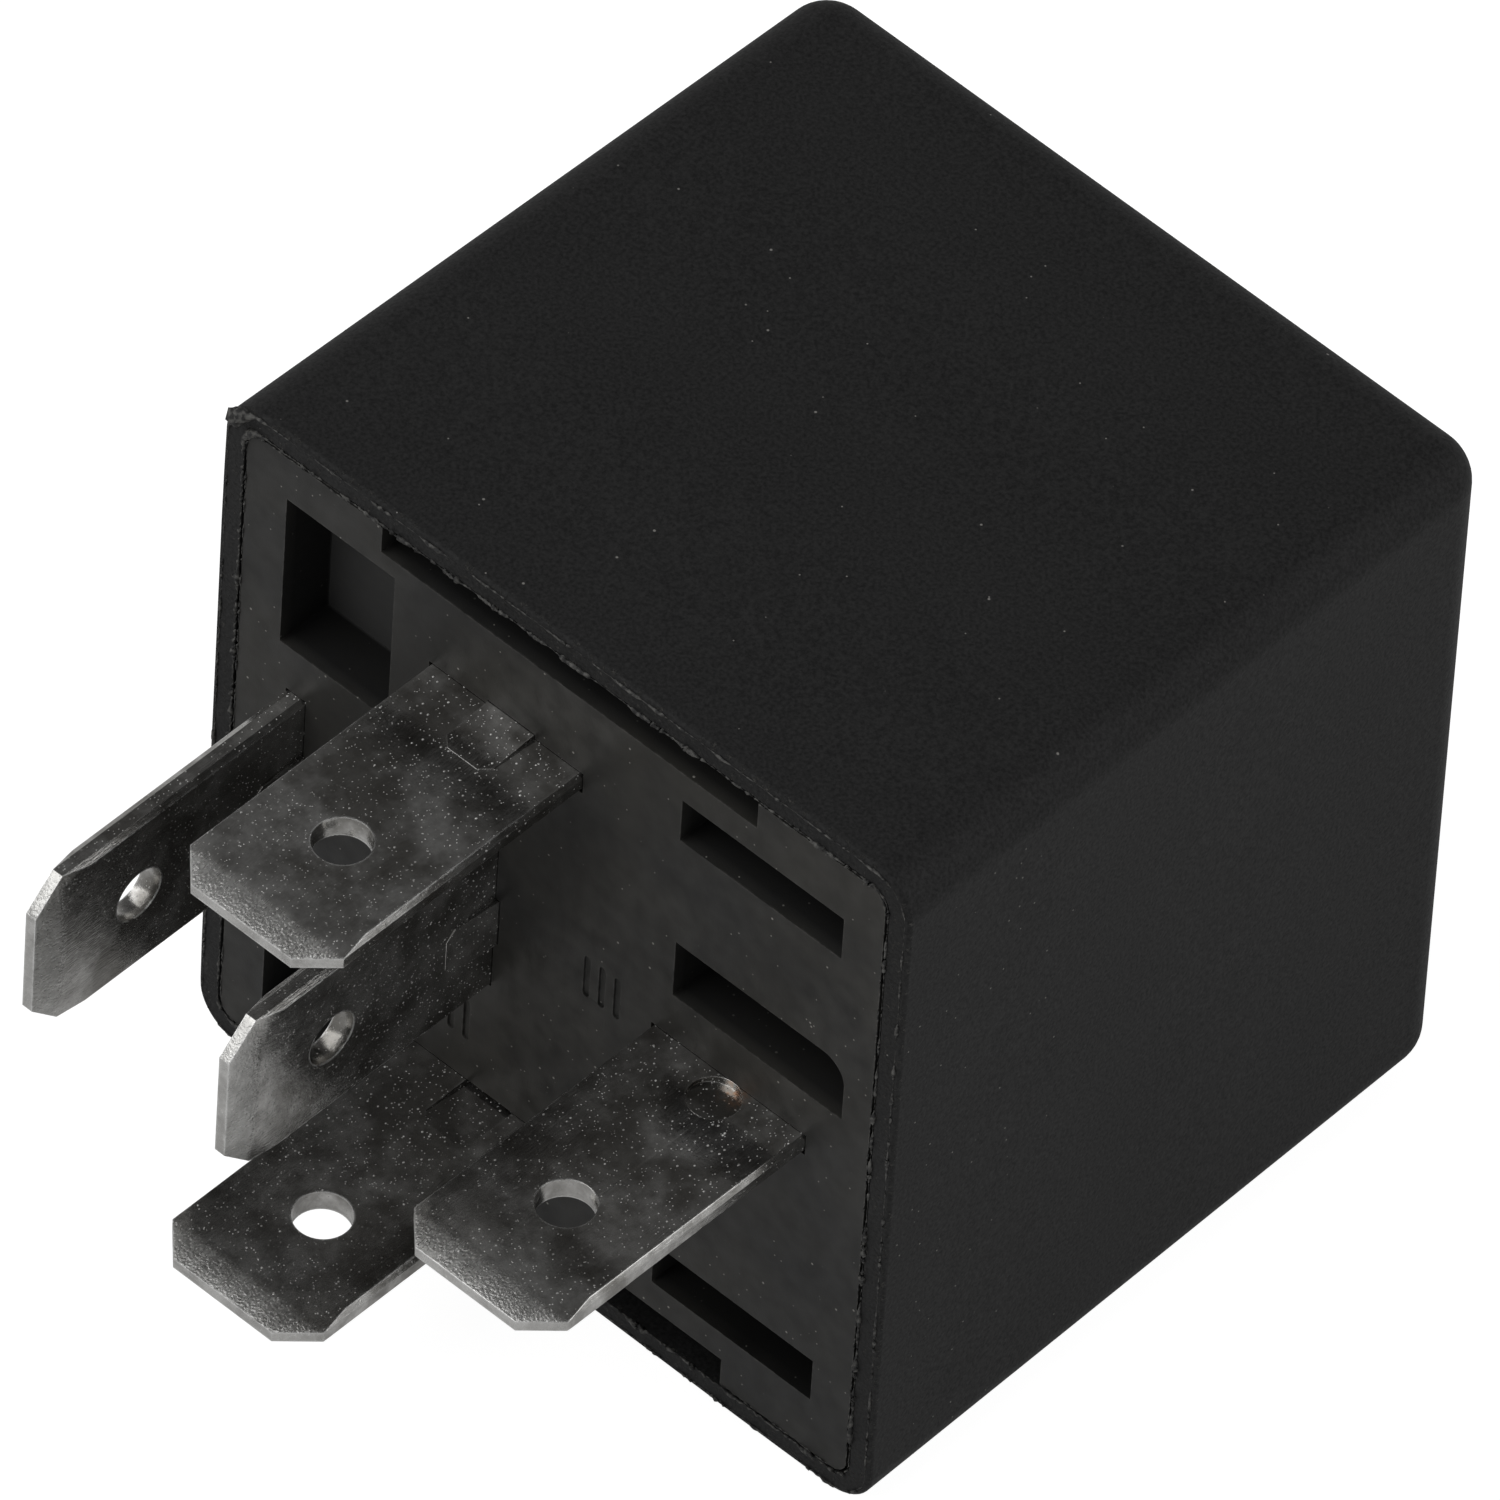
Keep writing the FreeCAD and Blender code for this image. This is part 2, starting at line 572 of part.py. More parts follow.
def leaf_profile():
    """Side view of the released contact spring: up the yoke, round the bend and along the armature."""
    lift = math.radians(RELEASED_DEG)
    x = YOKE_BACK_X + LEAF_THICK / 2
    over = ARMATURE_THICK + LEAF_THICK / 2
    bend_x = x - LEAF_BEND_R
    run_x = HINGE[0] + (bend_x - HINGE[0]) * math.cos(lift) + over * math.sin(lift)
    run_y = HINGE[1] - (bend_x - HINGE[0]) * math.sin(lift) + over * math.cos(lift)
    tangent_x = bend_x + LEAF_BEND_R * math.sin(lift)
    tangent_y = run_y - (tangent_x - run_x) * math.tan(lift)
    centre_y = tangent_y - LEAF_BEND_R * math.cos(lift)
    middle = math.radians(90 - RELEASED_DEG) / 2
    bend_middle = V(bend_x + LEAF_BEND_R * math.cos(middle), centre_y + LEAF_BEND_R * math.sin(middle), 0)
    length = (tangent_x - LEAF_END_X) / math.cos(lift)
    end = V(tangent_x - length * math.cos(lift), tangent_y + length * math.sin(lift), 0)
    tangent = V(tangent_x, tangent_y, 0)
    edges = [Part.LineSegment(V(x, LEAF_FOOT_Y, 0), V(x, centre_y, 0)).toShape(),
             Part.Arc(V(x, centre_y, 0), bend_middle, tangent).toShape(),
             Part.LineSegment(tangent, end).toShape()]
    return Part.Wire(edges)


def make_contact_spring():
    wire = leaf_profile()
    width = 2 * LEAF_HALF_Z
    section = Part.Wire(Part.makePolygon([
        V(YOKE_BACK_X, LEAF_FOOT_Y, -LEAF_HALF_Z), V(YOKE_BACK_X + LEAF_THICK, LEAF_FOOT_Y, -LEAF_HALF_Z),
        V(YOKE_BACK_X + LEAF_THICK, LEAF_FOOT_Y, -LEAF_HALF_Z + width),
        V(YOKE_BACK_X, LEAF_FOOT_Y, -LEAF_HALF_Z + width), V(YOKE_BACK_X, LEAF_FOOT_Y, -LEAF_HALF_Z)]))
    strip = wire.makePipeShell([section], True, True)
    trims = []
    for side in (-1, 1):
        points = [(-20, side * LEAF_TONGUE_HALF_Z), (-6.2, side * LEAF_TONGUE_HALF_Z),
                  (-1.8, side * LEAF_HALF_Z), (-1.8, side * 9), (-20, side * 9)]
        trims.append(prism([(x, LEAF_FOOT_Y, z) for x, z in points], (0, 20, 0)))
    window = box(7.6, 14, 15.4, 30, -1.6, 1.6)
    foot_y = SPRING_RIVET_Y
    yoke_holes = [rod((10, foot_y, side * RIVET_Z), (1, 0, 0), RIVET_SHANK_R, 4) for side in (-1, 1)]
    arm_holes = [released(hole) for hole in armature_rivet_holes()]
    contact_hole = released(rod((CONTACT_X, HINGE[1], 0), (0, 1, 0), CONTACT_HOLE_R, 4))
    return cut(strip, trims + [window, contact_hole] + yoke_holes + arm_holes)


def make_spring_rivets():
    """Rivets that hold the contact spring to the yoke."""
    rivets = []
    inner = YOKE_BACK_X - YOKE_THICK
    outer = YOKE_BACK_X + LEAF_THICK
    for side in (-1, 1):
        shank = rod((inner, SPRING_RIVET_Y, side * RIVET_Z), (1, 0, 0), RIVET_SHANK_R, outer - inner)
        head = rod((outer, SPRING_RIVET_Y, side * RIVET_Z), (1, 0, 0), RIVET_HEAD_R, RIVET_HEAD)
        rim = edges_along(head, X=outer + RIVET_HEAD)
        rivets.append(fused([shank, head.makeFillet(0.3, rim)]))
    return Part.Compound(rivets)


def make_armature_rivets():
    """Rivets that hold the contact spring to the armature."""
    rivets = []
    low = HINGE[1]
    seat = low + ARMATURE_THICK + LEAF_THICK
    for side in (-1, 1):
        shank = rod((ARMATURE_RIVET_X, low, side * RIVET_Z), (0, 1, 0), RIVET_SHANK_R, seat - low)
        head = rod((ARMATURE_RIVET_X, seat, side * RIVET_Z), (0, 1, 0), RIVET_HEAD_R, RIVET_HEAD)
        head = head.makeFillet(0.3, edges_at_y(head, seat + RIVET_HEAD))
        rivets.append(released(fused([shank, head])))
    return Part.Compound(rivets)


def make_yoke_rivets():
    """Rivets that hold the yoke on terminal 30, heads sunk in the base."""
    rivets = []
    under = YOKE_Y - STRIP
    for side in (-1, 1):
        x, z = YOKE_RIVET_X, side * YOKE_RIVET_Z
        shank = rod((x, under, z), (0, 1, 0), RIVET_SHANK_R, STRIP + YOKE_THICK)
        head = rod((x, under - YOKE_RIVET_HEAD, z), (0, 1, 0), RIVET_HEAD_R, YOKE_RIVET_HEAD)
        rivets.append(fused([shank, head]))
    return Part.Compound(rivets)


def make_moving_contact():
    """Double-faced contact riveted through the end of the spring."""
    under = HINGE[1] + ARMATURE_THICK
    over = under + LEAF_THICK
    lower = button(CONTACT_X, 0, under - 0.9, under, CONTACT_R, under - 0.9)
    upper = button(CONTACT_X, 0, over, over + 0.5, CONTACT_R, over + 0.5)
    shank = rod((CONTACT_X, under, 0), (0, 1, 0), CONTACT_HOLE_R, LEAF_THICK)
    return released(fused([lower, shank, upper]))


def make_working_contact():
    """Fixed contact on terminal 87, met when the coil is on."""
    top = NO_ARM_Y + STRIP
    head = button(CONTACT_X, 0, top, top + 0.6, CONTACT_R, top + 0.6)
    shank = rod((CONTACT_X, NO_ARM_Y, 0), (0, 1, 0), CONTACT_HOLE_R, STRIP)
    tail = button(CONTACT_X, 0, NO_ARM_Y - 0.3, NO_ARM_Y, 1.1, NO_ARM_Y - 0.3)
    return fused([head, shank, tail])


def make_resting_contact():
    """Fixed contact on terminal 87a, met when the coil is off."""
    head = button(CONTACT_X, 0, NC_ARM_Y - 0.5, NC_ARM_Y, CONTACT_R, NC_ARM_Y - 0.5)
    shank = rod((CONTACT_X, NC_ARM_Y, 0), (0, 1, 0), CONTACT_HOLE_R, STRIP)
    top = NC_ARM_Y + STRIP
    tail = button(CONTACT_X, 0, top, top + 0.3, 1.1, top + 0.3)
    return fused([head, shank, tail])


# --- Braid --------------------------------------------------------------------------------------------
def make_braid():
    """Copper braid from terminal 30 to the contact spring, its ends pressed flat for welding."""
    cable = tube(BRAID_ROUTE, BRAID_R)
    x, y, z = BRAID_ROUTE[0]
    fixed_end = box(x - 1.0, x + 1.0, y - 0.6, y + 1.0, TAB_30_Z, z + 0.5)
    seat = HINGE[1] + ARMATURE_THICK + LEAF_THICK
    x, _, z = BRAID_ROUTE[-1]
    moving_end = released(box(x - 0.7, x + 1.0, seat, seat + 1.1, z - 0.9, z + 0.9))
    return fused([cable, fixed_end, moving_end])


# --- Suppression resistor -----------------------------------------------------------------------------
def make_resistor():
    """Axial film resistor: a slim middle between two end caps."""
    half = RESISTOR_HALF
    body = rod((RESISTOR_X, RESISTOR_Y, -half), (0, 0, 1), RESISTOR_R, 2 * half)
    caps = []
    for z in (-half, half - RESISTOR_CAP):
        cap = rod((RESISTOR_X, RESISTOR_Y, z), (0, 0, 1), RESISTOR_CAP_R, RESISTOR_CAP)
        caps.append(cap.makeFillet(0.35, [e for e in cap.Edges if len(e.Vertexes) == 1]))
    return fused([body] + caps)


def make_resistor_leads():
    leads = []
    for side in (-1, 1):
        start = (RESISTOR_X, RESISTOR_Y, side * RESISTOR_HALF)
        leads.append(rod(start, (0, 0, side), LEAD_R, LEAD_END - RESISTOR_HALF))
    return Part.Compound(leads)


def make_solder_joints():
    """Solder on the outer faces of the coil terminals, round the resistor leads and the winding's ends."""
    joints = []
    wires = make_coil_leads()
    for side in (-1, 1):
        outer = side * (POS_86[1] + BLADE_THICK / 2)
        cone = Part.makeCone(0.75, 0.42, 0.45, V(RESISTOR_X, RESISTOR_Y, outer), V(0, 0, side))
        hole = rod((RESISTOR_X, RESISTOR_Y, outer - side), (0, 0, side), LEAD_R, 3)
        joints.append(cone.cut(hole))
        blob = Part.makeCone(0.5, 0.2, 0.55, V(COIL_TAB_X[1], WIRE_END_Y, side * POS_86[1]), V(1, 0, 0))
        joints.append(blob.cut(wires))
    return Part.Compound(joints)


NODES = {
    "cover": make_cover,
    "base": make_base,
    "terminal_30": make_terminal_30,
    "terminal_87": make_terminal_87,
    "terminal_87a": make_terminal_87a,
    "terminal_86": lambda: coil_terminal(POS_86, 1),
    "terminal_85": lambda: coil_terminal(POS_85, -1),
    "yoke": make_yoke,
    "yoke_rivets": make_yoke_rivets,
    "core": make_core,
    "bobbin": make_bobbin,
    "coil_winding": make_winding,
    "coil_leads": make_coil_leads,
    "armature": make_armature,
    "armature_rivets": make_armature_rivets,
    "contact_spring": make_contact_spring,
    "spring_rivets": make_spring_rivets,
    "moving_contact": make_moving_contact,
    "working_contact": make_working_contact,
    "resting_contact": make_resting_contact,
    "braid": make_braid,
    "resistor": make_resistor,
    "resistor_leads": make_resistor_leads,
    "solder_joints": make_solder_joints,
}

os.makedirs("parts", exist_ok=True)
for name, make in NODES.items():
    shape = make()
    print(name, "solids", len(shape.Solids), "valid", shape.isValid(), "volume", round(shape.Volume, 3))
    shape.exportStep(f"parts/{name}.step")
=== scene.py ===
"""Looks of the plug-in relay: its materials, the wound and woven pieces inside, floor, light and camera."""

import json
import math

import bmesh
import bpy
import numpy as np
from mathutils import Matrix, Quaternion, Vector, noise


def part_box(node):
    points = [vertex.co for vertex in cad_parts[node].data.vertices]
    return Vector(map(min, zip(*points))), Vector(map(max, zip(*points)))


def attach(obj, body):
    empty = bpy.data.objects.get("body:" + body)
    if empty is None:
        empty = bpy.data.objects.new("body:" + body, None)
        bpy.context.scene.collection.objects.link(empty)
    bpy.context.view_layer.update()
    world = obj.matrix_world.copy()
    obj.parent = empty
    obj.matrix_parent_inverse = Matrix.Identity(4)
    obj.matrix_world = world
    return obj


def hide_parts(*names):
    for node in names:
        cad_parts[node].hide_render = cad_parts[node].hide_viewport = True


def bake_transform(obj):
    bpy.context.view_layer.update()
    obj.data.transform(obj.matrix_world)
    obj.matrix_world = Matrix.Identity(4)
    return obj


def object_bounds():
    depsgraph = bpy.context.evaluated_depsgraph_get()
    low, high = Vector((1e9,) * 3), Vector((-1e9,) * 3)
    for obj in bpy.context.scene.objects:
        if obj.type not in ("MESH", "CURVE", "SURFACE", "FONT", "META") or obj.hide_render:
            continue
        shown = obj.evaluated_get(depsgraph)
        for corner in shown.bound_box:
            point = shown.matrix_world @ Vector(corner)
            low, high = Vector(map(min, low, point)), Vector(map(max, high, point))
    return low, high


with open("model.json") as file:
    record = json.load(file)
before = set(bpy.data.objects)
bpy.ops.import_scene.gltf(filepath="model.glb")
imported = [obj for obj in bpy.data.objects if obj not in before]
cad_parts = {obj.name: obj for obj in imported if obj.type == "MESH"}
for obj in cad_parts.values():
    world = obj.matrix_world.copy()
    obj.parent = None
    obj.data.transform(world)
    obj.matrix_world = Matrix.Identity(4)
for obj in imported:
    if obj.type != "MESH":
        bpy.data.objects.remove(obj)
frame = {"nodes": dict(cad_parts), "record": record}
CAD_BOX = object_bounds()

MM = 0.001
RIM_WALL = 0.85  # the case's rim, beside the base
BASE_GAP = 0.12  # between the base and the rim
OUTER_INSET = 0.20  # of the bead on the case's outer edge from its widest face
EDGE_NOTCH = (-7.5, 7.85)  # stretch in x of the notches in the base's two edges
TABLE_GLOW = 0.32  # brightness of the light table under the relay against white at 1
TABLE_WHITE = 0.92  # the same as the camera sees it
HORIZON_LIGHT = 0.62  # brightness of the surroundings, low down and overhead
OVERHEAD_LIGHT = 0.085

# The camera stands where the photograph was taken from: angles in degrees, lengths in millimetres.
CAMERA_AZIMUTH = 40.58
CAMERA_ELEVATION = 47.90
CAMERA_ROLL = 3.83
CAMERA_DISTANCE = 937.6
CAMERA_AIM = (1.12, 7.31, 4.36)
CAMERA_LENS = 754.6

# The braid's route from the common terminal to the moving spring, as the CAD has it, in millimetres.
BRAID_ROUTE = [(6.5, 9.2, 9.6), (6.5, 19.0, 10.2), (4.6, 22.9, 8.2), (0.2, 22.9, 4.6), (-2.9, 22.3, 3.2)]
BRAID_RADIUS = 0.7
WIRE_RADIUS = 0.11
DRUM_BORE = 4.32  # radius of the hole through the winding
DRUM_COVER = 0.14  # depth of the outermost turns over the plain drum
LEAF_STEPS = 24  # stretches that the contact spring's bend is cut into
LEAF_REACH = 3.5  # of the contact spring on each side of the hinge that is cut finely
SHARP_TURN = 24  # degrees between faces above which an edge is rounded
CASE_SOFTNESS = 0.05  # rounding of the case, the base and the blades
TORN_BLADE_SOFTNESS = 0.04
LANCE_EDGE = (7.9, -0.25, 0.3)  # middle of the torn edge of terminal 30's lance
IRON_SOFTNESS = 0.12  # rounding of the yoke and the bobbin
ARMATURE_SOFTNESS = 0.10


# --- Node materials -----------------------------------------------------------------------------------
class Graph:
    """One node material. Each call adds nodes and returns their socket. Lengths are in millimetres."""

    def __init__(self, name):
        self.material = bpy.data.materials.new(name)
        self.material.use_nodes = True
        self.tree = self.material.node_tree
        self.tree.nodes.clear()
        place = self.node("ShaderNodeTexCoord").outputs["Object"]
        self.place = self.vector("MULTIPLY", place, (1 / MM,) * 3)

    def node(self, kind, inputs=None, **settings):
        made = self.tree.nodes.new(kind)
        for key, value in settings.items():
            setattr(made, key, value)
        for key, value in (inputs or {}).items():
            if isinstance(value, bpy.types.NodeSocket):
                self.tree.links.new(value, made.inputs[key])
            else:
                made.inputs[key].default_value = value
        return made

    def vector(self, operation, a, b):
        return self.node("ShaderNodeVectorMath", {0: a, 1: b}, operation=operation).outputs["Vector"]

    def math(self, operation, a, b=0.0, clamp=False):
        made = self.node("ShaderNodeMath", {0: a, 1: b}, operation=operation, use_clamp=clamp)
        return made.outputs[0]

    def times(self, *values):
        product = values[0]
        for value in values[1:]:
            product = self.math("MULTIPLY", product, value)
        return product

    def spread(self, value, low, high, to_low=0.0, to_high=1.0):
        """Value from low to high becomes to_low to to_high, held at the ends."""
        made = self.node("ShaderNodeMapRange", {"Value": value, "From Min": low, "From Max": high,
                                                "To Min": to_low, "To Max": to_high}, clamp=True)
        return made.outputs["Result"]

    def noise(self, per_mm, detail=3.0, stretch=(1, 1, 1), roughness=0.5):
        place = self.vector("MULTIPLY", self.place, stretch)
        return self.node("ShaderNodeTexNoise", {"Vector": place, "Scale": per_mm, "Detail": detail,
                                                "Roughness": roughness}).outputs["Fac"]

    def specks(self, per_mm, share, radius):
        """Small round flecks, one in each cell of a share of the cells, 1 inside and 0 outside."""
        cell = self.node("ShaderNodeTexVoronoi", {"Vector": self.place, "Scale": per_mm})
        size = radius * per_mm
        fleck = self.spread(cell.outputs["Distance"], size * 0.6, size, 1.0, 0.0)
        chosen = self.math("GREATER_THAN", self.channel(cell.outputs["Color"], 0), 1 - share)
        return self.math("MULTIPLY", fleck, chosen)

    def channel(self, colour, index):
        return self.node("ShaderNodeSeparateColor", {"Color": colour}).outputs[index]

    def axis(self, index):
        return self.node("ShaderNodeSeparateXYZ", {"Vector": self.place}).outputs[index]

    def near(self, centre, radius, soft):
        """1 within radius of a point, falling to 0 over soft."""
        away = self.node("ShaderNodeVectorMath", {0: self.place, 1: centre}, operation="DISTANCE")
        return self.spread(away.outputs["Value"], radius, radius + soft, 1.0, 0.0)

    def colour(self, factor, a, b):
        made = self.node("ShaderNodeMix", data_type="RGBA")
        for socket, value in zip((made.inputs[0], made.inputs[6], made.inputs[7]), (factor, a, b)):
            if isinstance(value, bpy.types.NodeSocket):
                self.tree.links.new(value, socket)
            elif isinstance(value, tuple):
                socket.default_value = (*value, 1.0)
            else:
                socket.default_value = value
        return made.outputs[2]

    def edges(self, radius):
        """1 where the surface turns within radius, 0 on flat ground."""
        round_normal = self.node("ShaderNodeBevel", {"Radius": radius * MM}, samples=4).outputs["Normal"]
        flat_normal = self.node("ShaderNodeNewGeometry").outputs["Normal"]
        alike = self.node("ShaderNodeVectorMath", {0: round_normal, 1: flat_normal},
                          operation="DOT_PRODUCT").outputs["Value"]
        return self.spread(alike, 0.75, 0.98, 1.0, 0.0)

    def bump(self, height, depth):
        inputs = {"Height": height, "Distance": depth * MM, "Strength": 1.0}
        return self.node("ShaderNodeBump", inputs).outputs["Normal"]

    def surface(self, **inputs):
        named = {key.replace("_", " "): value for key, value in inputs.items()}
        if isinstance(named.get("Base Color"), tuple):
            named["Base Color"] = (*named["Base Color"], 1.0)
        shader = self.node("ShaderNodeBsdfPrincipled", named)
        self.node("ShaderNodeOutputMaterial", {"Surface": shader.outputs[0]})
        return self.material


def case_plastic():
    """Moulded black case: fine grain, faint clouding, dust, the rim torn and its edges rubbed lighter."""
    g = Graph("case_plastic")
    grain = g.noise(8, detail=3, roughness=0.65)
    cloud = g.noise(0.25, detail=3)
    tone = g.math("ADD", g.times(g.spread(grain, 0.34, 0.66), 0.75), g.times(cloud, 0.25))
    body = g.colour(tone, (0.0070, 0.0070, 0.0072), (0.0265, 0.0265, 0.0265))
    lighter_edges = g.times(g.edges(0.22), g.spread(g.noise(2.5, detail=4), 0.35, 0.65))
    body = g.colour(lighter_edges, body, (0.036, 0.036, 0.035))
    ragged = g.noise(4.5, detail=5, roughness=0.7)
    torn = g.times(g.spread(g.axis(1), 0.22, 0.10), g.spread(ragged, 0.56, 0.68))
    body = g.colour(torn, body, (0.075, 0.073, 0.068))
    dust = g.math("MAXIMUM", g.specks(0.9, 0.35, 0.055), g.specks(2.0, 0.16, 0.035))
    body = g.colour(g.times(dust, 0.6), body, (0.34, 0.33, 0.31))
    rough = g.spread(g.noise(9, detail=3), 0.3, 0.7, 0.54, 0.68)
    height = g.math("ADD", grain, g.times(torn, 3.0))
    return g.surface(Base_Color=body, Roughness=rough, Specular_IOR_Level=0.14, Normal=g.bump(height, 0.012))


def base_plastic():
    """Moulded black base: slightly brown, clouded, rubbed, dusty; rough in its recesses, which carry painted
    shade.
    """
    g = Graph("base_plastic")
    cloud = g.noise(0.22, detail=4)
    body = g.colour(g.spread(cloud, 0.35, 0.65), (0.0155, 0.0155, 0.0150), (0.0270, 0.0260, 0.0230))
    lighter_edges = g.times(g.edges(0.12), g.spread(g.noise(3.5, detail=4), 0.4, 0.62))
    body = g.colour(lighter_edges, body, (0.075, 0.073, 0.068))
    dust = g.math("MAXIMUM", g.specks(1.7, 0.45, 0.05), g.specks(3.2, 0.30, 0.032))
    body = g.colour(g.times(dust, 0.65), body, (0.36, 0.35, 0.32))
    # Painted shade: the recesses of the base darkened nearly to black.
    recess_shade = g.times(g.spread(g.axis(1), 0.12, 0.5), g.spread(g.axis(1), 2.3, 2.6, 1.0, 0.0))
    for index in (0, 2):
        recess_shade = g.times(recess_shade, g.spread(g.math("ABSOLUTE", g.axis(index)), 12.85, 12.95, 1.0, 0.0))
    body = g.colour(g.times(recess_shade, 0.75), body, (0.0040, 0.0040, 0.0040))
    # Deeper than 2 mm the painted shade in the recesses gives way to a lighter grey.
    body = g.colour(g.times(recess_shade, g.spread(g.axis(1), 2.0, 2.08)), body, (0.040, 0.040, 0.039))
    rough = g.spread(g.noise(1.2, detail=5), 0.3, 0.7, 0.40, 0.58)
    rough = g.math("ADD", rough, g.times(recess_shade, 0.35), clamp=True)
    fine = g.noise(16, detail=3)
    return g.surface(Base_Color=body, Roughness=rough, Specular_IOR_Level=0.26, Normal=g.bump(fine, 0.007))


def metal(name, colour, rough, mottle=0.16, grain=(1, 1, 1), grain_depth=0.002, worn=0.5):
    """Plain metal: mottled tone and roughness, drawn or rolled grain, brighter edges."""
    g = Graph(name)
    mottled = g.noise(1.1, detail=4)
    dark = tuple(c * (1 - mottle) for c in colour)
    body = g.colour(g.spread(mottled, 0.3, 0.7), dark, colour)
    lines = g.noise(9, detail=3, stretch=grain)
    roughness = g.spread(lines, 0.3, 0.7, rough * 0.8, rough * 1.25)
    bright = tuple(min(1.0, c * 1.25) for c in colour)
    body = g.colour(g.times(g.edges(0.06), worn), body, bright)
    return g.surface(Base_Color=body, Metallic=1.0, Roughness=roughness, Normal=g.bump(lines, grain_depth))


def tin_plate(name, burr=None):
    """Tin-plated blade: dull silver, scuffed along its length, dusty, coarse where the tip was coined; its
    patchy film is partly a painted dark reflection, and its lighter edges are partly a painted highlight.

    burr is the middle of the torn edge of the lance, where the copper alloy under the plating shows.
    """
    g = Graph(name)
    mottled = g.noise(1.1, detail=7, roughness=0.68)
    body = g.colour(g.spread(mottled, 0.38, 0.62), (0.34, 0.333, 0.318), (0.60, 0.593, 0.575))
    along = g.axis(1)
    coined = g.spread(along, -10.1, -10.4)
    rooted = g.spread(along, -6.5, -0.5)
    scratches = g.noise(7, detail=4, stretch=(3.0, 0.35, 3.0))
    grit = g.noise(11, detail=3)
    # Patchy dark film over the blade short of its tip: partly tarnish, partly a painted dark reflection.
    film_and_dark_reflection = g.times(g.spread(g.noise(0.42, detail=4, roughness=0.6), 0.42, 0.60), g.spread(along, -9.8, -8.6))
    body = g.colour(g.times(film_and_dark_reflection, 0.70), body, (0.120, 0.112, 0.098))
    # Lighter edges on the blade: partly wear, partly a painted highlight along the edges and hole rims.
    lighter_edges = g.times(g.edges(0.14), g.spread(g.noise(3.5, detail=4), 0.28, 0.5),
                     g.spread(along, -3.0, -1.8, 1.0, 0.4))
    rough = g.spread(scratches, 0.3, 0.7, 0.12, 0.24)
    rough = g.math("ADD", rough, g.times(coined, 0.12))
    rough = g.math("ADD", rough, g.times(lighter_edges, 0.16))
    coarse = g.times(g.specks(4.2, 0.58, 0.046), g.spread(g.noise(0.8, detail=2), 0.34, 0.54))
    fine = g.specks(7.5, 0.85, 0.025)
    settled = g.times(g.spread(rooted, 0.0, 1.0, 0.45, 1.0),
                      g.spread(g.noise(3.3, detail=3), 0.38, 0.62, 0.40, 1.0))
    flecks = g.times(g.math("MAXIMUM", coarse, fine), settled)
    body = g.colour(g.times(coined, 0.25), body, (0.66, 0.66, 0.65))
    # Painted highlight, with wear, on the blade's edges.
    body = g.colour(lighter_edges, body, (0.92, 0.92, 0.91))
    if burr is not None:
        torn = g.times(g.near(burr, 0.30, 0.35), g.spread(g.noise(5, detail=3), 0.4, 0.6))
        body = g.colour(torn, body, (0.44, 0.31, 0.23))
    body = g.colour(flecks, body, (0.88, 0.88, 0.86))
    drawn = g.times(scratches, g.spread(coined, 0.0, 1.0, 1.0, 0.1))
    height = g.math("ADD", drawn, g.times(grit, g.spread(coined, 0.0, 1.0, 0.5, 4.0)))
    height = g.math("ADD", height, g.times(flecks, 3.0))
    bare = g.spread(flecks, 0.0, 1.0, 0.93, 0.05)
    return g.surface(Base_Color=body, Metallic=bare, Roughness=rough, Normal=g.bump(height, 0.005))


def nylon():
    """Natural glass-filled nylon of the bobbin: cream, faintly translucent, with short fibres in it."""
    g = Graph("bobbin_plastic")
    fibres = g.noise(5, detail=3, stretch=(1, 0.25, 1))
    body = g.colour(g.spread(fibres, 0.35, 0.65), (0.55, 0.52, 0.44), (0.66, 0.63, 0.55))
    body = g.colour(g.times(g.edges(0.1), 0.5), body, (0.75, 0.72, 0.65))
    rough = g.spread(g.noise(2, detail=4), 0.3, 0.7, 0.38, 0.52)
    normal = g.bump(g.noise(14, detail=2), 0.004)
    return g.surface(Base_Color=body, Roughness=rough, Subsurface_Weight=0.15, Subsurface_Scale=0.4 * MM,
                     Normal=normal)


def enamelled(name, colour):
    """Copper under clear enamel: deep orange, glossy, each turn a little different."""
    g = Graph(name)
    turn = g.noise(4, detail=2, stretch=(0.15, 2.0, 0.15))
    dark = tuple(c * 0.72 for c in colour)
    body = g.colour(g.spread(turn, 0.35, 0.65), dark, colour)
    rough = g.spread(g.noise(3, detail=3), 0.3, 0.7, 0.24, 0.36)
    normal = g.bump(g.noise(16, detail=2), 0.002)
    return g.surface(Base_Color=body, Metallic=0.85, Roughness=rough, Coat_Weight=0.4, Coat_Roughness=0.2,
                     Normal=normal)


def resistor_lacquer():
    """Lacquered resistor body with four painted value bands round it."""
    g = Graph("resistor_paint")
    z = g.axis(2)
    body = g.colour(g.spread(g.noise(1.5, detail=3), 0.3, 0.7), (0.13, 0.31, 0.44), (0.18, 0.40, 0.55))
    bands = [(-1.7, (0.30, 0.03, 0.02)), (-0.6, (0.42, 0.20, 0.02)), (0.5, (0.05, 0.03, 0.02)),
             (1.9, (0.50, 0.36, 0.10))]
    ragged = g.math("ADD", z, g.spread(g.noise(3, detail=2), 0.0, 1.0, -0.06, 0.06))
    for middle, paint in bands:
        off = g.math("ABSOLUTE", g.math("SUBTRACT", ragged, middle))
        body = g.colour(g.spread(off, 0.24, 0.28, 1.0, 0.0), body, paint)
    rough = g.spread(g.noise(4, detail=3), 0.3, 0.7, 0.16, 0.26)
    normal = g.bump(g.noise(1.6, detail=2), 0.03)
    return g.surface(Base_Color=body, Roughness=rough, Coat_Weight=0.5, Coat_Roughness=0.1, Normal=normal)


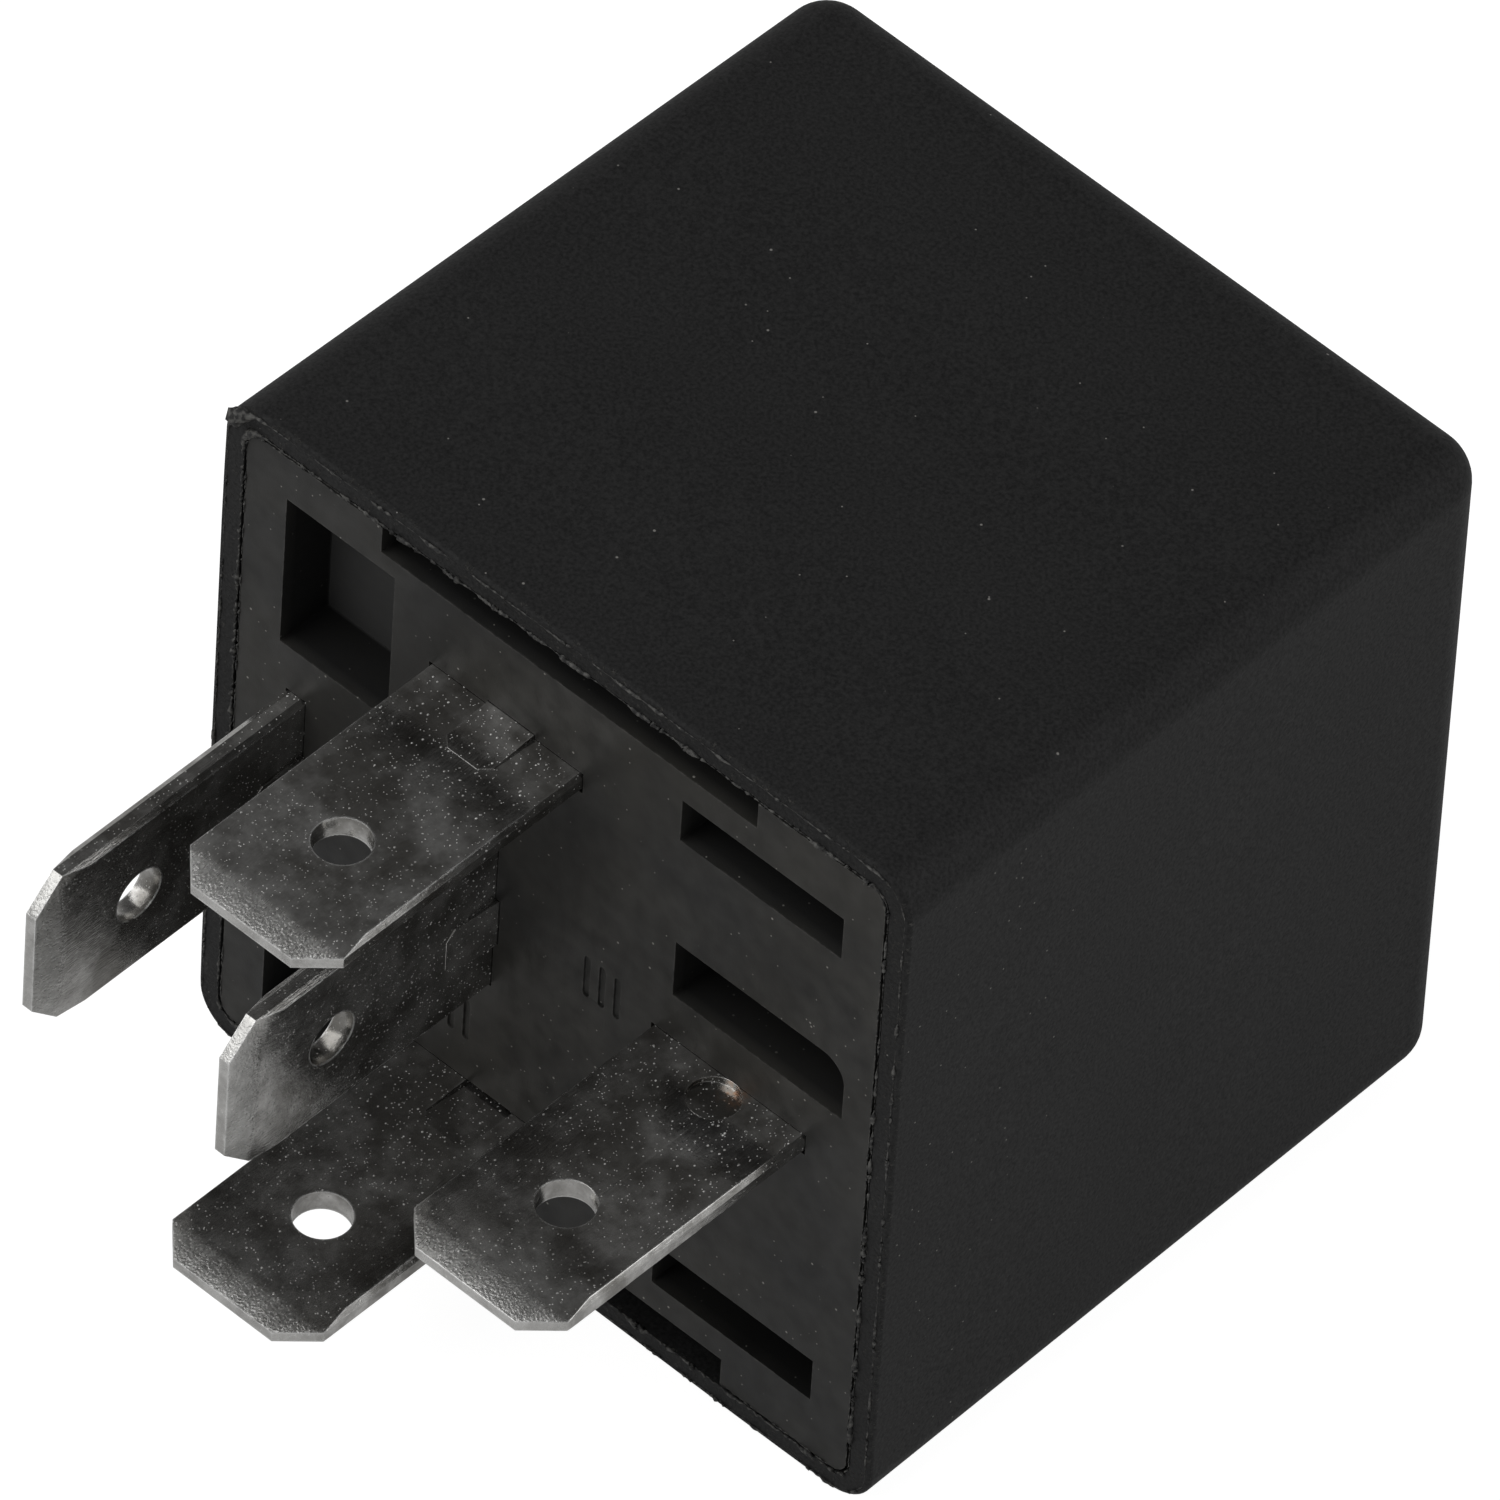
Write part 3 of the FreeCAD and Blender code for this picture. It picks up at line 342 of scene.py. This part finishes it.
def solder_metal():
    """Dull solder with a lumpy skin."""
    g = Graph("solder")
    skin = g.noise(2.2, detail=4)
    body = g.colour(g.spread(skin, 0.3, 0.7), (0.50, 0.50, 0.50), (0.72, 0.72, 0.71))
    rough = g.spread(skin, 0.3, 0.7, 0.22, 0.40)
    normal = g.bump(g.noise(6, detail=3), 0.01)
    return g.surface(Base_Color=body, Metallic=1.0, Roughness=rough, Normal=normal)


def flash_plastic():
    """Torn moulding flash and scuffed edge: paler than the case, dull and fibrous."""
    g = Graph("flash_plastic")
    body = g.colour(g.spread(g.noise(6, detail=4), 0.42, 0.62), (0.014, 0.014, 0.014), (0.100, 0.098, 0.092))
    rough = g.spread(g.noise(12, detail=3), 0.3, 0.7, 0.55, 0.75)
    normal = g.bump(g.noise(20), 0.01)
    return g.surface(Base_Color=body, Roughness=rough, Specular_IOR_Level=0.4, Normal=normal)


# --- Mesh pieces --------------------------------------------------------------------------------------
def new_piece(name, mesh, material, body, smooth=True):
    """Object of a mesh that rides on a body and fills a material slot."""
    piece = bpy.data.objects.new(name, mesh)
    bpy.context.collection.objects.link(piece)
    mesh.materials.clear()
    mesh.materials.append(material)
    if smooth:
        mesh.polygons.foreach_set("use_smooth", [True] * len(mesh.polygons))
    if body is not None:
        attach(piece, body)
    return piece


def mesh_from(name, points, faces):
    mesh = bpy.data.meshes.new(name)
    mesh.from_pydata([tuple(c * MM for c in p) for p in points], [], faces)
    mesh.validate()
    return mesh


def grid_faces(rows, columns, first=0, closed=False):
    """Faces of a tube made of rings of columns points: capped, or closed with its last ring on its first."""
    faces = []
    for row in range(rows if closed else rows - 1):
        for column in range(columns):
            a = first + row * columns + column
            b = first + row * columns + (column + 1) % columns
            c = first + (row + 1) % rows * columns + (column + 1) % columns
            d = first + (row + 1) % rows * columns + column
            faces.append((a, d, c, b))
    if not closed:
        faces.append(tuple(first + column for column in range(columns)))
        faces.append(tuple(first + (rows - 1) * columns + column for column in reversed(range(columns))))
    return faces


def frames_along(path):
    """Two cross directions at each point of a path, turning as little as they can."""
    tangents = np.gradient(path, axis=0)
    tangents /= np.linalg.norm(tangents, axis=1)[:, None]
    side = np.cross(tangents[0], (0.3, 0.1, 1.0))
    sides = []
    for tangent in tangents:
        side = side - tangent * side.dot(tangent)
        side /= np.linalg.norm(side)
        sides.append(side)
    sides = np.array(sides)
    return sides, np.cross(tangents, sides)


def tube_points(path, radius, corners):
    """Rings of corners points round a path."""
    first, second = frames_along(path)
    angles = np.arange(corners) * 2 * math.pi / corners
    rings = (path[:, None, :]
             + radius * np.cos(angles)[None, :, None] * first[:, None, :]
             + radius * np.sin(angles)[None, :, None] * second[:, None, :])
    return rings.reshape(-1, 3)


def add_spline(curve, points, per_span):
    """Smooth NURBS spline with these control points, in a curve."""
    spline = curve.splines.new("NURBS")
    spline.points.add(len(points) - 1)
    for target, point in zip(spline.points, points):
        target.co = (*point, 1.0)
    spline.order_u = 3
    spline.use_endpoint_u = True
    spline.resolution_u = per_span


def spline_points(points, per_span):
    """Points along a smooth NURBS spline with these control points."""
    curve = bpy.data.curves.new("route", "CURVE")
    curve.dimensions = "3D"
    add_spline(curve, points, per_span)
    holder = bpy.data.objects.new("route", curve)
    mesh = bpy.data.meshes.new_from_object(holder)
    path = np.array([vertex.co[:] for vertex in mesh.vertices])
    bpy.data.objects.remove(holder)
    bpy.data.curves.remove(curve)
    bpy.data.meshes.remove(mesh)
    return path


def even_path(path, count):
    """The same path at evenly spaced points."""
    along = np.concatenate([[0], np.cumsum(np.linalg.norm(np.diff(path, axis=0), axis=1))])
    wanted = np.linspace(0, along[-1], count)
    return np.column_stack([np.interp(wanted, along, path[:, axis]) for axis in range(3)]), along[-1]


def corner_box(node):
    low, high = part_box(node)
    return np.array(low) / MM, np.array(high) / MM


def make_winding(material):
    """Coil wound turn beside turn on the bobbin, in front of a plain drum of the layers under it."""
    low, high = corner_box("coil_winding")
    centre_x, centre_z = (low[0] + high[0]) / 2, (low[2] + high[2]) / 2
    outer = (high[0] - low[0]) / 2
    pitch = 2 * WIRE_RADIUS + 0.004
    length = high[1] - low[1]
    turns = int((length - 2 * WIRE_RADIUS) / pitch)
    steps = 40
    count = turns * steps + 1
    angle = np.arange(count) * 2 * math.pi / steps
    rng = np.random.default_rng(7)
    knots = np.arange(0, count + steps, steps // 2)
    wobble = np.interp(np.arange(count), knots, rng.normal(0, 0.012, len(knots)))
    radius = outer - WIRE_RADIUS - 0.02 + np.clip(wobble, -0.03, 0.02)
    path = np.column_stack([centre_x + radius * np.cos(angle),
                            low[1] + WIRE_RADIUS + pitch * np.arange(count) / steps,
                            centre_z + radius * np.sin(angle)])
    points = [tuple(p) for p in tube_points(path, WIRE_RADIUS, 6)]
    faces = grid_faces(count, 6)
    drum = 64
    first = len(points)
    drum_radius = outer - DRUM_COVER
    profile = [(DRUM_BORE, low[1]), (drum_radius, low[1]), (drum_radius, high[1]), (DRUM_BORE, high[1])]
    for r, y in profile:
        for step in range(drum):
            turn = 2 * math.pi * step / drum
            points.append((centre_x + r * math.cos(turn), y, centre_z + r * math.sin(turn)))
    faces += grid_faces(len(profile), drum, first, closed=True)
    piece = new_piece("coil_turns", mesh_from("coil_turns", points, faces), material, "frame")
    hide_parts("coil_winding")


def make_leads(material):
    """The two ends of the winding wire, drawn out to the coil terminals."""
    low, high = corner_box("coil_leads")
    curve = bpy.data.curves.new("wire_ends", "CURVE")
    curve.dimensions = "3D"
    curve.bevel_depth = WIRE_RADIUS * MM
    curve.bevel_resolution = 3
    reach = high[2]
    start_x, end_x = high[0] - WIRE_RADIUS, low[0] + WIRE_RADIUS
    for side in (-1, 1):
        route = [(start_x + 1.6, 7.15, side * 5.9), (start_x, 7.3, side * 6.55), (0.2, 7.5, side * 7.15),
                 (-1.4, 7.9, side * 7.5), (-2.1, 8.05, side * 8.0),
                 (end_x, 8.2, side * (reach - WIRE_RADIUS))]
        add_spline(curve, [tuple(c * MM for c in point) for point in route], 8)
    holder = bpy.data.objects.new("wire_ends_route", curve)
    mesh = bpy.data.meshes.new_from_object(holder)
    bpy.data.objects.remove(holder)
    piece = new_piece("wire_ends", mesh, material, "frame")
    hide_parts("coil_leads")


def woven(path, length, radius):
    """Points and faces of a braid: strands wound both ways, over and under one another."""
    first, second = frames_along(path)
    carriers, pitch, corners = 8, 4.6, 5
    strand = radius * 0.22
    along = np.linspace(0, length, len(path))
    points, faces = [], []
    for way in (-1, 1):
        for carrier in range(carriers):
            angle = way * 2 * math.pi * along / pitch + 2 * math.pi * carrier / carriers
            lift = way * np.cos(2 * math.pi * along / pitch * carriers)
            reach = radius - strand * 1.25 + lift * strand * 0.8
            line = (path + (reach * np.cos(angle))[:, None] * first
                    + (reach * np.sin(angle))[:, None] * second)
            start = len(points)
            points += [tuple(p) for p in tube_points(line, strand, corners)]
            faces += grid_faces(len(path), corners, start)
    start = len(points)
    points += [tuple(p) for p in tube_points(path, radius * 0.72, 12)]
    faces += grid_faces(len(path), 12, start)
    return points, faces


def pressed_block(low, high, long_axis):
    """Pressed braid end: a block with soft corners, ridged along by the flattened wires in it."""
    low, high = np.array(low), np.array(high)
    middle, half = (low + high) / 2, (high - low) / 2
    first, second = [axis for axis in range(3) if axis != long_axis]
    rows, columns, squareness = 9, 32, 0.35
    points = []
    for share in np.linspace(-1, 1, rows):
        pinch = 1 - 0.2 * abs(share) ** 6
        for column in range(columns):
            turn = 2 * math.pi * column / columns
            cos, sin = math.cos(turn), math.sin(turn)
            ridge = pinch * (1 - 0.06 * (column % 2))
            point = middle.copy()
            point[long_axis] += share * half[long_axis]
            point[first] += math.copysign(abs(cos) ** squareness, cos) * half[first] * ridge
            point[second] += math.copysign(abs(sin) ** squareness, sin) * half[second] * ridge
            points.append(tuple(point))
    return points, grid_faces(rows, columns)


def make_braid(material):
    """Copper braid from terminal 30 to the contact spring, with its pressed ends."""
    path, length = even_path(spline_points(BRAID_ROUTE, 40), 190)
    points, faces = woven(path, length, BRAID_RADIUS)
    tab_face = corner_box("terminal_30")[1][2]
    x, y, z = BRAID_ROUTE[0]
    ends = [((x - 1.0, y - 0.6, tab_face), (x + 1.0, y + 1.0, z + 0.5), 1)]
    x, y, z = BRAID_ROUTE[-1]
    ends.append(((x - 0.8, y - 0.62, z - 0.9), (x + 0.9, y + 0.42, z + 0.9), 0))
    for low, high, long_axis in ends:
        more, quads = pressed_block(low, high, long_axis)
        faces += [tuple(index + len(points) for index in face) for face in quads]
        points += more
    piece = new_piece("braid_weave", mesh_from("braid_weave", points, faces), material, None)
    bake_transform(piece)
    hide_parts("braid")


def clean_copy(node):
    """The CAD node's mesh with its split corners joined and its flat stretches as single faces."""
    made = bmesh.new()
    made.from_mesh(frame["nodes"][node].data)
    bmesh.ops.remove_doubles(made, verts=made.verts, dist=0.0005 * MM)
    bmesh.ops.dissolve_limit(made, angle_limit=math.radians(0.4), verts=made.verts, edges=made.edges)
    return made


def make_softened(node, piece_name, width, material, body):
    """Copy of a CAD node with its sharp edges rounded by width, as moulding, coining or wear leaves them."""
    made = clean_copy(node)
    least = math.radians(SHARP_TURN)
    sharp = [edge for edge in made.edges if edge.is_manifold and edge.calc_face_angle() > least]
    bmesh.ops.bevel(made, geom=sharp, offset=width * MM, offset_type="OFFSET", segments=2, profile=0.5,
                    affect="EDGES", clamp_overlap=True)
    mesh = bpy.data.meshes.new(piece_name)
    made.to_mesh(mesh)
    made.free()
    piece = new_piece(piece_name, mesh, material, body)
    flat = piece.modifiers.new("flat_faces", "WEIGHTED_NORMAL")
    flat.weight = 100
    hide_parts(node)


def make_spring(material):
    """Contact spring, cut into narrow strips across the stretch where it bends over the yoke as the armature
    swings.
    """
    made = clean_copy("contact_spring")
    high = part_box("contact_spring")[1]
    hinge = Vector(frame["record"]["behaviour"]["joints"][0]["pos_m"])
    reach = LEAF_REACH * MM
    for step in range(1, LEAF_STEPS):
        share = step / LEAF_STEPS
        level = Vector((high[0], hinge.y - reach, 0)).lerp(Vector((hinge.x - reach, high[1], 0)), share)
        geometry = made.verts[:] + made.edges[:] + made.faces[:]
        bmesh.ops.bisect_plane(made, geom=geometry, dist=0.001 * MM, plane_co=level, plane_no=(-1, 1, 0))
    mesh = bpy.data.meshes.new("leaf_spring")
    made.to_mesh(mesh)
    made.free()
    piece = new_piece("leaf_spring", mesh, material, None, smooth=False)
    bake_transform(piece)
    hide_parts("contact_spring")


def rounded_square_path(half, radius, y, spacing):
    """Closed path round a square with round corners, in the plane at y, about evenly spaced."""
    inner = half - radius
    path = []
    for quarter in range(4):
        turn = math.pi / 2 * quarter
        straight = int(2 * inner / spacing)
        bend = max(4, int(math.pi / 2 * radius / spacing))
        side = [(half, -inner + 2 * inner * k / straight) for k in range(straight)]
        angles = [math.pi / 2 * k / bend for k in range(bend)]
        side += [(inner + radius * math.cos(angle), inner + radius * math.sin(angle)) for angle in angles]
        path += [(x * math.cos(turn) - z * math.sin(turn), y, x * math.sin(turn) + z * math.cos(turn))
                 for x, z in side]
    return np.array(path)


def runs_of(kept):
    """Index lists of the unbroken stretches where kept is true, in order."""
    runs, current = [], []
    for index, keep in enumerate(kept):
        if keep:
            current.append(index)
        elif current:
            runs.append(current)
            current = []
    return runs + [current] if current else runs


def make_flash(name, half, corner, reach, tear, seed, material, body, gap=None):
    """Ragged bead of moulding flash round a square edge at the mounting face.

    tear is how much it swells at the torn corner, against reach. gap is the stretch in x, on the two
    edges along x, where there is no wall to carry the bead.
    """
    path = rounded_square_path(half, corner, 0.0, 0.09)
    columns = 5
    size = np.array([noise.noise(Vector((p[0] * 1.7 + seed, p[2] * 1.7, 0))) for p in path])
    fine = np.array([noise.noise(Vector((p[0] * 6 + seed, p[2] * 6, 3))) for p in path])
    torn_corner = np.array([-half, 0.0, half])
    torn = np.exp(-(np.linalg.norm(path - torn_corner, axis=1) / 0.7) ** 2)
    radii = reach * (np.clip(0.35 + 1.1 * size + 0.8 * fine, 0.10, 1.5) + tear * torn)
    outward = path / np.linalg.norm(path, axis=1)[:, None]
    centre = path + outward * (reach * 0.5 * fine)[:, None] - np.array([0, 1, 0]) * (radii * 0.35)[:, None]
    turns = 2 * math.pi * np.arange(columns)[None, :] / columns + 4 * fine[:, None]
    rings = (centre[:, None, :] + (radii[:, None] * np.cos(turns))[:, :, None] * outward[:, None, :]
             + (radii[:, None] * np.sin(turns))[:, :, None] * np.array([0, 1, 0]))
    if gap is None:
        faces = grid_faces(len(path), columns, closed=True)
    else:
        open_air = (path[:, 0] > gap[0]) & (path[:, 0] < gap[1]) & (np.abs(path[:, 2]) > half - corner)
        faces = []
        for run in runs_of(~open_air):
            faces += grid_faces(len(run), columns, run[0] * columns)
    new_piece(name, mesh_from(name, rings.reshape(-1, 3), faces), material, body)


# --- Floor, light and camera --------------------------------------------------------------------------
def floor_white():
    """Pale light table: clean white to the camera, and a dimmer glow that fills the relay from below."""
    g = Graph("floor_white")
    tone = g.colour(g.noise(0.02), (0.34, 0.34, 0.34), (0.36, 0.36, 0.36))
    dull = g.node("ShaderNodeBsdfDiffuse", {"Color": tone}).outputs[0]
    seen = g.node("ShaderNodeLightPath").outputs["Is Camera Ray"]
    strength = g.spread(seen, 0.0, 1.0, TABLE_GLOW, TABLE_WHITE)
    glow = g.node("ShaderNodeEmission", {"Color": (1, 1, 1, 1), "Strength": strength}).outputs[0]
    lit = g.node("ShaderNodeAddShader", {0: dull, 1: glow}).outputs[0]
    g.node("ShaderNodeOutputMaterial", {"Surface": lit})
    return g.material


def add_floor():
    half = 1.5
    low = CAD_BOX[0][2]
    mesh = bpy.data.meshes.new("floor")
    mesh.from_pydata([(-half, -half, low), (half, -half, low), (half, half, low), (-half, half, low)],
                     [], [(0, 1, 2, 3)])
    mesh.materials.append(floor_white())
    floor = bpy.data.objects.new("floor", mesh)
    bpy.context.collection.objects.link(floor)


def towards(azimuth, elevation):
    """Unit vector from the relay towards a point seen at that azimuth and elevation, in degrees."""
    a, e = math.radians(azimuth), math.radians(elevation)
    return Vector((math.sin(a) * math.cos(e), -math.cos(a) * math.cos(e), math.sin(e)))


def add_light(name, azimuth, elevation, distance, size, brightness):
    """Square softbox facing the relay; distance and size in metres, brightness against white at 1."""
    lamp = bpy.data.lights.new(name, "AREA")
    lamp.shape = "SQUARE"
    lamp.size = size
    lamp.energy = brightness * math.pi * size ** 2
    holder = bpy.data.objects.new(name, lamp)
    bpy.context.collection.objects.link(holder)
    back = towards(azimuth, elevation)
    holder.location = back * distance
    holder.rotation_mode = "QUATERNION"
    holder.rotation_quaternion = (-back).to_track_quat("-Z", "Y")


def add_world():
    """Pale at the horizon and dim overhead, so that flat black and metal tops stay dark."""
    world = bpy.data.worlds.new("studio")
    world.use_nodes = True
    tree = world.node_tree
    tree.nodes.clear()
    place = tree.nodes.new("ShaderNodeTexCoord")
    parts = tree.nodes.new("ShaderNodeSeparateXYZ")
    height = tree.nodes.new("ShaderNodeMapRange")
    tone = tree.nodes.new("ShaderNodeMix")
    light = tree.nodes.new("ShaderNodeBackground")
    white = tree.nodes.new("ShaderNodeBackground")
    seen = tree.nodes.new("ShaderNodeLightPath")
    both = tree.nodes.new("ShaderNodeMixShader")
    out = tree.nodes.new("ShaderNodeOutputWorld")
    height.inputs["From Min"].default_value = 0.05
    height.inputs["From Max"].default_value = 0.70
    tone.data_type = "RGBA"
    tone.inputs[6].default_value = (HORIZON_LIGHT, HORIZON_LIGHT, HORIZON_LIGHT, 1)
    tone.inputs[7].default_value = (OVERHEAD_LIGHT, OVERHEAD_LIGHT, OVERHEAD_LIGHT, 1)
    white.inputs["Color"].default_value = (1, 1, 1, 1)
    tree.links.new(place.outputs["Generated"], parts.inputs[0])
    tree.links.new(parts.outputs[2], height.inputs["Value"])
    tree.links.new(height.outputs["Result"], tone.inputs[0])
    tree.links.new(tone.outputs[2], light.inputs["Color"])
    tree.links.new(seen.outputs["Is Camera Ray"], both.inputs[0])
    tree.links.new(light.outputs[0], both.inputs[1])
    tree.links.new(white.outputs[0], both.inputs[2])
    tree.links.new(both.outputs[0], out.inputs["Surface"])
    bpy.context.scene.world = world


def add_camera():
    camera = bpy.data.cameras.new("camera")
    camera.lens = CAMERA_LENS
    camera.sensor_width = 36
    camera.clip_start = 0.05
    camera.clip_end = 20
    holder = bpy.data.objects.new("camera", camera)
    bpy.context.collection.objects.link(holder)
    back = towards(CAMERA_AZIMUTH, CAMERA_ELEVATION)
    holder.location = (Vector(CAMERA_AIM) + back * CAMERA_DISTANCE) * MM
    holder.rotation_mode = "QUATERNION"
    roll = Quaternion((0, 0, 1), math.radians(CAMERA_ROLL))
    holder.rotation_quaternion = (-back).to_track_quat("-Z", "Y") @ roll
    bpy.context.scene.camera = holder


# --- Assembly -----------------------------------------------------------------------------------------
def apply_material(names, material):
    for name in names:
        for material_slot in frame["nodes"][name].material_slots:
            material_slot.material = material


make_softened("cover", "case_shell", CASE_SOFTNESS, case_plastic(), "cover")
make_softened("base", "base_moulding", CASE_SOFTNESS, base_plastic(), "frame")
tin = tin_plate("tin_plate")
for number in ("85", "86", "87", "87a"):
    make_softened(f"terminal_{number}", f"blade_{number}", CASE_SOFTNESS, tin, "frame")
torn_tin = tin_plate("tin_plate_torn", burr=LANCE_EDGE)
make_softened("terminal_30", "blade_30", TORN_BLADE_SOFTNESS, torn_tin, "frame")
steel = metal("zinc_steel", (0.60, 0.60, 0.57), 0.38)
make_softened("yoke", "yoke_plate", IRON_SOFTNESS, steel, "frame")
make_softened("armature", "armature_plate", ARMATURE_SOFTNESS, steel, "armature")
make_softened("bobbin", "bobbin_spool", IRON_SOFTNESS, nylon(), "frame")
apply_material(["core"], steel)
apply_material(["yoke_rivets", "spring_rivets", "armature_rivets"],
               metal("rivet_metal", (0.74, 0.58, 0.36), 0.32))
apply_material(["moving_contact", "working_contact", "resting_contact"],
               metal("contact_silver", (0.84, 0.82, 0.78), 0.28))
apply_material(["resistor"], resistor_lacquer())
apply_material(["resistor_leads"], metal("lead_wire", (0.66, 0.65, 0.63), 0.3))
apply_material(["solder_joints"], solder_metal())

copper = enamelled("copper_wire", (0.78, 0.30, 0.10))
make_winding(copper)
make_leads(copper)
make_braid(metal("braid_copper", (0.78, 0.40, 0.24), 0.33))
make_spring(metal("spring_copper", (0.80, 0.46, 0.29), 0.3, grain=(0.2, 0.2, 3.0)))

case_half = corner_box("cover")[1][0]
base_half = case_half - RIM_WALL - BASE_GAP
flash = flash_plastic()
make_flash("rim_flash", case_half - RIM_WALL, corner=0.75, reach=0.10, tear=1.5, seed=3,
           material=flash, body="cover")
make_flash("outer_flash", case_half - OUTER_INSET, corner=1.38, reach=0.065, tear=9.0, seed=23,
           material=flash, body="cover")
make_flash("base_flash", base_half, corner=0.63, reach=0.045, tear=1.0, seed=11,
           material=flash, body="frame", gap=EDGE_NOTCH)

add_floor()
add_world()
add_light("key", azimuth=-38, elevation=52, distance=0.6, size=0.60, brightness=1.95)
add_light("fill", azimuth=126, elevation=29, distance=0.6, size=0.42, brightness=1.6)
add_camera()
bpy.context.scene.view_settings.view_transform = "Standard"
